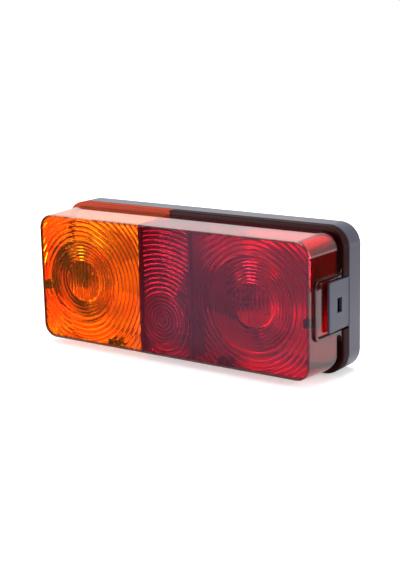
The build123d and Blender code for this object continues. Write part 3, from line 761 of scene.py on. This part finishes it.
def tail_eye(patch, size, walls, ends):
    """The optic of the tail bulb: the dotted disc, with round ridges round it."""
    centre = (size.tail_x, size.tail_z)
    count = math.ceil((TAIL_FIELD - size.tail_disc) / size.tail_arc)
    depth = np.full(count, size.tail_rise)
    radius, drop = prism_row(size.tail_disc, count, size.tail_arc, depth, size.tail_swell)
    optic(patch, size, centre, walls, (0, 0), radius, drop, np.zeros_like, ends, TAIL_STEPS)
    dotted_disc(patch, size, centre)


def turned(along, radius, steps=48):
    """A profile turned about an axis: along it, and the radius times cosine and sine across it."""
    angle = full_turn(steps)[None, :]
    along, radius = np.asarray(along)[:, None], np.asarray(radius)[:, None]
    return np.stack([along + 0 * angle, radius * np.cos(angle), radius * np.sin(angle)], -1)


def wire(path, radius, sides=8):
    """A round wire along a path: circles square to the path, shrunk to a point at both ends."""
    path = np.concatenate([path[:1], path, path[-1:]])
    run = np.gradient(path, axis=0)
    run[0], run[-1] = run[1], run[-2]
    run = run / np.linalg.norm(run, axis=1, keepdims=True)
    across = np.cross(run, np.array([0.31, 0.52, 0.79]))  # any direction that no wire runs in
    across = across / np.linalg.norm(across, axis=1, keepdims=True)
    over = np.cross(run, across)
    thick = np.full(len(path), radius)
    thick[[0, -1]] = 0.0
    angle = full_turn(sides)[None, :, None]
    ring = np.cos(angle) * across[:, None] + np.sin(angle) * over[:, None]
    return path[:, None] + thick[:, None, None] * ring


def seated(points, centre, turn, height):
    """Points of a bulb, given along and across its axis, put at its light centre and turned."""
    a, b, c = points[..., 0], points[..., 1], points[..., 2]
    x = centre[0] + a * math.cos(turn) - b * math.sin(turn)
    z = centre[1] + a * math.sin(turn) + b * math.cos(turn)
    return lay(x, z, height + c)


def gathered(parts, *seat):
    """The parts of a bulb in their place, gathered for one mesh."""
    patch = Patchwork()
    for part in parts:
        patch.grid(seated(part, *seat))
    return patch


def bulb_glass(size, ball, pins):
    """The blown glass: a ball that runs into a neck, with an inner skin one wall inside it, and the stem that
    carries the wires, a flare drawn to a round tip."""
    end = pins - GLASS_END
    tip = np.linspace(0, 1, 25)

    def skin(inset):
        """Profile of one skin: an arc of the ball, then the neck."""
        r, neck = ball - inset, size.neck - inset
        turn = tip * (np.pi - math.asin(neck / r))
        soft = end - np.array([0.6, 0.3, 0.0]) * (end - math.sqrt(r * r - neck * neck))
        return np.append(-r * np.cos(turn), soft), np.append(r * np.sin(turn), np.full(3, neck))

    out_a, out_r = skin(0.0)
    in_a, in_r = skin(size.glass_wall)
    shell = turned(np.append(out_a, in_a[::-1]), np.append(out_r, in_r[::-1]))
    along = end - np.array([0.0, 0.0, 0.15, 0.3, 0.5, 0.8, 0.92, 0.98, 1.0]) * 0.55 * end
    flare = np.array([0.0, 0.0052, 0.0042, 0.0032, 0.0026, 0.0022, 0.0018, 0.001, 0.0])
    return shell, turned(along[::-1], flare[::-1], 24)


def bulb_wires(size, ball, pins):
    """Two wires from the stem to the filament, each a curve with one bend, and the filament: a coil of
    fifteen turns across the bulb."""
    stem, half = 0.5 * (pins - GLASS_END), 0.26 * ball
    coil, coil_wire, stem_gap = 0.00042, 0.00009, 0.0011
    s = np.linspace(0, 1, 20)[:, None]
    wires = []
    for side in (-1, 1):
        start, end = np.array([stem, side * stem_gap, 0]), np.array([0.0, side * half, 0])
        bend = np.array([0.55 * stem, side * half * 0.95, 0])
        wires.append(wire((1 - s) ** 2 * start + 2 * s * (1 - s) * bend + s**2 * end, size.wire))
    t = np.linspace(-1, 1, 240)
    turns = t * 15 * np.pi
    wires.append(wire(np.stack([coil * np.cos(turns), t * half, coil * np.sin(turns)], -1), coil_wire, 6))
    return wires


def holder_hood(size, pins):
    """The hood over a bulb holder: an arch, half an ellipse across the bulb's axis, carried along it and
    drawn in at the mouth round the neck of the bulb, with an inner skin one sheet below it."""
    half, sheet = size.hood_half, 0.0008
    deck = size.deck - size.bulb_height
    rise = size.hood_top - size.deck
    mouth, end = pins - 0.0112, pins + 0.0134
    turn = np.linspace(0, np.pi, 33)[None, :]
    along = np.array([mouth, mouth, mouth + 0.0006, mouth + 0.002, end])[:, None]
    swell = np.array([0.72, 0.94, 0.98, 1.0, 1.0])[:, None]
    inner = np.array([1.0, 0.98, 0.94, 0.72])[:, None]
    a = np.concatenate([along, along[::-1][:4], along[:1]])
    w, h = (
        np.concatenate([full * swell, (full - sheet) * inner, full * swell[:1]]) for full in (half, rise)
    )
    return np.stack([a + 0 * turn, -w * np.cos(turn), deck + h * np.sin(turn)], -1)


def stud(size, x):
    """A stud: a domed hexagon head, the plain neck and a shank whose radius follows the turns of its thread.
    The thread's radius is the outer one less its depth times a rounded zigzag of height and angle."""
    angle = full_turn(48)[None, :]
    six = size.stud_flats / 2 / np.cos((angle + np.pi / 6) % (np.pi / 3) - np.pi / 6)
    even = np.zeros_like(six)
    top, low = size.floor_top, -CAD_HIGH.y
    head, shoulder, point = 0.004, 0.0036, 0.0023
    high = np.array([top + head, top + head, top + shoulder, top, top, 0.0, 0.0])[:, None]
    shank = np.linspace(0.0, low, 265)[1:, None]
    turn = (shank / size.stud_pitch + angle / (2 * np.pi)) % 1.0
    zigzag = np.clip(2.4 * np.abs(turn - 0.5) - 0.1, 0, 1)
    fade = np.clip(-shank / (2 * size.stud_pitch), 0, 1)
    thread = size.stud_radius - 0.55 * size.stud_pitch * zigzag * fade
    thread = np.minimum(thread, point + 1.2 * (shank - low))
    r = np.concatenate([
        even, even + size.stud_flats / 2 * 0.96, six, six, even + size.stud_neck, even + size.stud_neck,
        even + size.stud_radius, thread, even,
    ])
    return polar((x, 0.0), r, angle, np.concatenate([high, shank, [[low]]]))


class LAMP_OT_mouldings(Operator):
    """Finish the black base, the seal and the grommet"""

    bl_idname = "rear_lamp.mouldings"
    bl_label = "Finish mouldings"

    def execute(self, context):
        finish = context.scene.lamp_finish
        black = mottled_material(
            "base_black", finish.black, finish.black_roughness, spread=0.12, bump=0.05, specular=0.35
        )
        rubber = mottled_material("rubber", finish.rubber, roughness=0.65, grain_size=900.0, bump=0.2)
        dress("base_housing", black)
        dress("cable_grommet", rubber)
        dress("lens_gasket", rubber)
        return {"FINISHED"}


class LAMP_OT_lenses(Operator):
    """Make the amber and the red lens moulding"""

    bl_idname = "rear_lamp.lenses"
    bl_label = "Make lenses"

    def execute(self, context):
        finish, size = context.scene.lamp_finish, context.scene.lamp_lens
        end_wall = CAD_HIGH.x - 0.0055
        amber = lens_material("amber_lens", finish.amber, finish.amber_deep, finish, size.foot, end_wall)
        red = lens_material("red_lens", finish.red, finish.red_deep, finish, size.foot, end_wall)
        amber_flange, amber_lug, red_flange, red_wall = (
            flange_material(name, getattr(finish, name), finish.lens_index)
            for name in ("amber_flange", "amber_lug", "red_flange", "red_wall")
        )
        back = face_back(size)
        clearance, groove_depth = 0.0002, 0.0005
        amber_pair, red_pair = size.indicator_x + 0.0253, size.stop_x - 0.0217
        deepest = max(size.ring_depth, size.inner_depth, size.collar) + size.bulge
        join, groove = back - deepest - clearance, back + groove_depth
        half_w, half_h, corner = inner_limits(size, join)
        patch = Patchwork()
        lens_shell(patch, size, -1, join)
        walls = (-half_w, size.seam - WELD, half_h)
        bull_eye(patch, size, size.indicator_eye, size.inner_reach, walls, (corner, 0), (join, FRONT, join))
        clip_frame(patch, size, -1)
        lugs(patch, size, -1, amber_pair, half_w, half_h, skin=2)
        catch(patch, size, -1)
        made = patch.piece("amber_moulding", amber, amber_flange, amber_lug)
        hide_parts("lens_amber")
        patch = Patchwork()
        lens_shell(patch, size, 1, join)
        left, right, past = size.seam + WELD, size.divider - size.groove, size.divider + size.groove
        tail_eye(patch, size, (left, right, half_h), (FRONT, groove, join))
        walls = (past, half_w, half_h)
        bull_eye(patch, size, size.stop_eye, size.stop_reach, walls, (0, corner), (groove, join, join))
        clip_frame(patch, size, 1)
        lugs(patch, size, 1, red_pair, half_w, half_h, skin=1)
        catch(patch, size, 1)
        patch.grid(lay(np.array([right, past])[:, None], np.array([-half_h, half_h])[None, :], groove))
        half, root = size.divider_wall / 2, back + size.divider_root
        for x in (size.seam + WELD + half + size.divider_gap, size.divider):
            patch.box((x - half, -half_h, size.divider_foot), (x + half, half_h, root), skin=2)
        made = patch.piece("red_moulding", red, red_flange, red_wall)
        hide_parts("lens_red")
        return {"FINISHED"}


class LAMP_OT_fittings(Operator):
    """Finish the reflector and the metal fittings behind the lens"""

    bl_idname = "rear_lamp.fittings"
    bl_label = "Finish fittings"

    def execute(self, context):
        finish, lens, size = context.scene.lamp_finish, context.scene.lamp_lens, context.scene.lamp_fittings
        # The silvered coat carries an oval of painted shade beside the indicator bulb.
        silver = silvered_material(
            "silvered", finish.silver, finish.silver_roughness, lens.seam, lens.divider,
            lens.indicator_x - size.painted_shade_offset, size.painted_shade_half_width, size.painted_shade_half_height
        )
        zinc = mottled_material("zinc_steel", finish.zinc, roughness=0.35, metallic=1.0, spread=0.15)
        nickel = mottled_material("nickel_brass", finish.nickel, roughness=0.25, metallic=1.0, spread=0.08)
        brass = mottled_material("brass", finish.brass, roughness=0.3, metallic=1.0, spread=0.1)
        laminate = mottled_material("laminate", finish.laminate, roughness=0.5, spread=0.2)
        rivet = mottled_material("rivet_metal", finish.aluminium, roughness=0.45, metallic=1.0, spread=0.06)
        dress("reflector", silver)
        dress("earth_strip", brass)
        dress("contact_rivets", rivet)
        dress("holder_rivets", rivet)
        for bulb in BULBS:
            dress("bulb_holder_" + bulb, zinc)
            dress("bulb_cap_" + bulb, nickel)
            dress("contact_plate_" + bulb, laminate)
            dress("contact_" + bulb, brass)
        return {"FINISHED"}


class LAMP_OT_bulbs(Operator):
    """Make the three hollow bulbs with their wires, and the hoods over their holders"""

    bl_idname = "rear_lamp.bulbs"
    bl_label = "Make bulbs"

    def execute(self, context):
        finish, size, lens = context.scene.lamp_finish, context.scene.lamp_fittings, context.scene.lamp_lens
        glass = clear_material("bulb_glass", finish.glass, roughness=0.0, index=1.5)
        tungsten = mottled_material("bulb_wire", finish.wire, roughness=0.35, metallic=1.0, spread=0.1)
        bright = bpy.data.materials["silvered"]
        # Painted shade: a dark hood finish for the tail and stop holders; the indicator's hood takes the
        # silvered coat.
        dull = mottled_material("painted_shade_hood", finish.hood, roughness=0.4, spread=0.1)
        large, small = (size.large_glass, size.large_pins), (size.small_glass, size.small_pins)
        for name, centre, turn, kind, coat in zip(
            BULBS,
            ((lens.indicator_x, 0.0), (lens.tail_x, lens.tail_z), (lens.stop_x, 0.0)),
            (0.0, math.pi / 2, math.pi),
            (large, small, large),
            # The indicator's hood is silvered, and the tail and stop hoods carry the painted shade.
            (bright, dull, dull),
        ):
            seat = (centre, turn, size.bulb_height)
            made = gathered(bulb_glass(size, *kind), *seat).piece("glass_" + name, glass)
            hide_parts("bulb_" + name)
            wires = gathered(bulb_wires(size, *kind), *seat)
            wires.piece("wires_" + name, tungsten)
            patch = Patchwork()
            arch = seated(holder_hood(size, kind[1]), *seat)
            patch.grid(arch, flip=True)
            patch.flat_face(arch[:-1, 0], flip=True)
            patch.flat_face(arch[:-1, -1])
            patch.piece("hood_" + name, coat)
        return {"FINISHED"}


class LAMP_OT_studs(Operator):
    """Make the two threaded fixing studs"""

    bl_idname = "rear_lamp.studs"
    bl_label = "Make studs"

    def execute(self, context):
        finish, size = context.scene.lamp_finish, context.scene.lamp_fittings
        zinc = mottled_material("stud_zinc", finish.stud_zinc, roughness=0.3, metallic=1.0, spread=0.15)
        patch = Patchwork()
        for side in (-1, 1):
            patch.grid(stud(size, side * size.stud_span / 2), flip=True)
        made = patch.piece("threaded_studs", zinc)
        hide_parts("fixing_studs")
        return {"FINISHED"}


def soft_box(name, place, size, watts, mirrored=True):
    """A rectangular light at a place, turned to the lamp and hidden from the camera. Only a mirrored one
    shows in polished surfaces."""
    light = bpy.data.lights.new(name, "AREA")
    light.shape = "RECTANGLE"
    light.size, light.size_y = size
    light.energy = watts
    box = bpy.data.objects.new(name, light)
    box.location = place
    box.rotation_euler = (-Vector(place)).to_track_quat("-Z", "Y").to_euler()
    box.visible_camera, box.visible_glossy = False, mirrored
    bpy.context.collection.objects.link(box)


def in_glass_or_gloss(tree):
    """One for rays that come by way of a polished or a clear surface, and the outputs of the light path."""
    path = add_node(tree, "ShaderNodeLightPath").outputs
    return maths(tree, "MAXIMUM", path["Is Glossy Ray"], path["Is Transmission Ray"]), path


def studio_world(brightness, dark_side):
    """Pale walls all round, white where they are looked at and softer where they only light the lamp, with
    the photographer's side of the room left dark."""
    world = bpy.data.worlds.new("studio")
    world.use_nodes = True
    tree = world.node_tree
    mirrored, path = in_glass_or_gloss(tree)
    level = map_range(tree, mirrored, end=(brightness, 1.0))
    heading = add_node(tree, "ShaderNodeTexCoord").outputs["Generated"]
    towards = vector_maths(tree, "DOT_PRODUCT", heading, dark_side)
    shade = map_range(tree, towards, (0.2, 0.7), (1.0, 0.4), soft=True)
    strength = maths(tree, "MAXIMUM", maths(tree, "MULTIPLY", level, shade), path["Is Camera Ray"])
    feed(tree, tree.nodes["Background"], {"Color": (1, 1, 1, 1), "Strength": strength})
    return world


def flat_sheet(name, across, along, height, material):
    """A flat rectangle between two places across and two places along."""
    corners = ((0, 0), (1, 0), (1, 1), (0, 1))
    mesh = bpy.data.meshes.new(name)
    mesh.from_pydata([(across[i], along[j], height) for i, j in corners], [], [(0, 1, 2, 3)])
    mesh.materials.append(material)
    sheet = bpy.data.objects.new(name, mesh)
    bpy.context.collection.objects.link(sheet)
    return sheet


def white_floor(height):
    """A wide flat white floor that keeps the lamp's soft shadow, lifted a little more further away, where the
    soft boxes reach it less."""
    material, tree, shader = new_material("floor_white")
    mirrored, path = in_glass_or_gloss(tree)
    seen = maths(tree, "MAXIMUM", path["Is Camera Ray"], mirrored)
    away = vector_maths(tree, "LENGTH", object_place(tree))
    lift = map_range(tree, away, (0.2, 1.2), (0.35, 0.8), soft=True)
    feed(tree, shader, {
        "Base Color": (0.9, 0.9, 0.9, 1),
        "Roughness": 0.9,
        "Specular IOR Level": 0.0,
        "Emission Color": (1, 1, 1, 1),
        "Emission Strength": maths(tree, "MULTIPLY", seen, lift),
    })
    floor = flat_sheet("floor", (-6.0, 6.0), (-6.0, 6.0), height, material)


def floor_card(name, across, along, height, near, far, slope=0.0, span=(0.0, 1.0)):
    """A card on the floor that only reflections and the inside of the lens see. Its tone runs from one colour
    to another with the place across plus the slope times the place along."""
    material, tree, shader = new_material(name)
    run = vector_maths(tree, "DOT_PRODUCT", object_place(tree), (1.0, slope, 0.0))
    tone = mix_colours(tree, map_range(tree, run, span), near, far)
    feed(tree, shader, {"Base Color": tone, "Specular IOR Level": 0.0})
    card = flat_sheet(name, across, along, height, material)
    card.visible_camera = card.visible_diffuse = card.visible_shadow = False


def studio_camera(studio):
    """The camera at its place: turned by the azimuth, raised by the elevation and leaning by the roll."""
    azimuth, elevation, roll = studio.camera_azimuth, studio.camera_elevation, studio.camera_roll
    back = Vector((
        math.sin(azimuth) * math.cos(elevation),
        -math.cos(azimuth) * math.cos(elevation),
        math.sin(elevation),
    ))
    right = Vector((math.cos(azimuth), math.sin(azimuth), 0))
    up = back.cross(right)
    side = math.cos(roll) * right + math.sin(roll) * up
    top = -math.sin(roll) * right + math.cos(roll) * up
    camera = bpy.data.objects.new("camera", bpy.data.cameras.new("camera"))
    camera.data.lens = studio.camera_lens
    camera.data.sensor_width = 36.0
    camera.data.clip_start = 0.01
    turn = Matrix((side, top, back)).transposed().to_4x4()
    camera.matrix_world = Matrix.Translation(Vector(studio.camera_place)) @ turn
    bpy.context.collection.objects.link(camera)
    return camera


class LAMP_OT_stage(Operator):
    """Set the floor, the soft light and the camera"""

    bl_idname = "rear_lamp.stage"
    bl_label = "Set stage"

    def execute(self, context):
        studio = context.scene.lamp_studio
        dark_side = (0.57, -0.80, 0.2)
        context.scene.world = studio_world(studio.surround, dark_side)
        context.scene.view_settings.view_transform = "Standard"
        floor, card = CAD_LOW.z, CAD_LOW.z + 0.001
        white_floor(floor)
        black, grey, brown = (0.04, 0.04, 0.05), (0.37, 0.35, 0.58), (0.06, 0.03, 0.02)
        floor_card(
            "front_card", (-0.5, 0.15), (-0.6, -0.075), card, black, grey, slope=-0.7125, span=(0.0, 0.05)
        )
        floor_card("side_card", (0.27, 0.45), (0.16, 0.45), card, brown, brown)
        soft_box("left_box", (-0.95, -1.05, 0.15), (1.0, 0.35), studio.left_power, mirrored=False)
        soft_box("top_box", (-0.1, 0.25, 1.25), (0.9, 0.8), studio.top_power)
        soft_box("right_box", (1.25, 0.2, 0.4), (0.8, 0.7), studio.right_power)
        soft_box("back_box", (-0.9, 0.9, 0.45), (0.9, 0.7), studio.back_power)
        context.scene.camera = studio_camera(studio)
        return {"FINISHED"}


class LAMP_PT_panel(Panel):
    """Buttons and settings of the rear lamp"""

    bl_idname = "LAMP_PT_panel"
    bl_label = "Rear Lamp"
    bl_space_type = "VIEW_3D"
    bl_region_type = "UI"
    bl_category = "Rear Lamp"

    def draw(self, context):
        for operator in OPERATORS:
            self.layout.operator(operator.bl_idname)
        for place, settings in SETTINGS.items():
            for name in settings.__annotations__:
                self.layout.prop(getattr(context.scene, place), name)


SETTINGS = {
    "lamp_finish": LampFinish,
    "lamp_lens": LensSizes,
    "lamp_fittings": FittingSizes,
    "lamp_studio": StudioSettings,
}
OPERATORS = (
    LAMP_OT_mouldings, LAMP_OT_lenses, LAMP_OT_fittings, LAMP_OT_bulbs, LAMP_OT_studs, LAMP_OT_stage,
)
CLASSES = (*SETTINGS.values(), *OPERATORS, LAMP_PT_panel)


def register():
    for cls in CLASSES:
        bpy.utils.register_class(cls)
    for place, settings in SETTINGS.items():
        setattr(bpy.types.Scene, place, PointerProperty(type=settings))


def unregister():
    for place in reversed(SETTINGS):
        delattr(bpy.types.Scene, place)
    for cls in reversed(CLASSES):
        bpy.utils.unregister_class(cls)


def main():
    register()
    bpy.ops.rear_lamp.mouldings()
    bpy.ops.rear_lamp.lenses()
    bpy.ops.rear_lamp.fittings()
    bpy.ops.rear_lamp.bulbs()
    bpy.ops.rear_lamp.studs()
    bpy.ops.rear_lamp.stage()


if __name__ == "__main__":
    main()
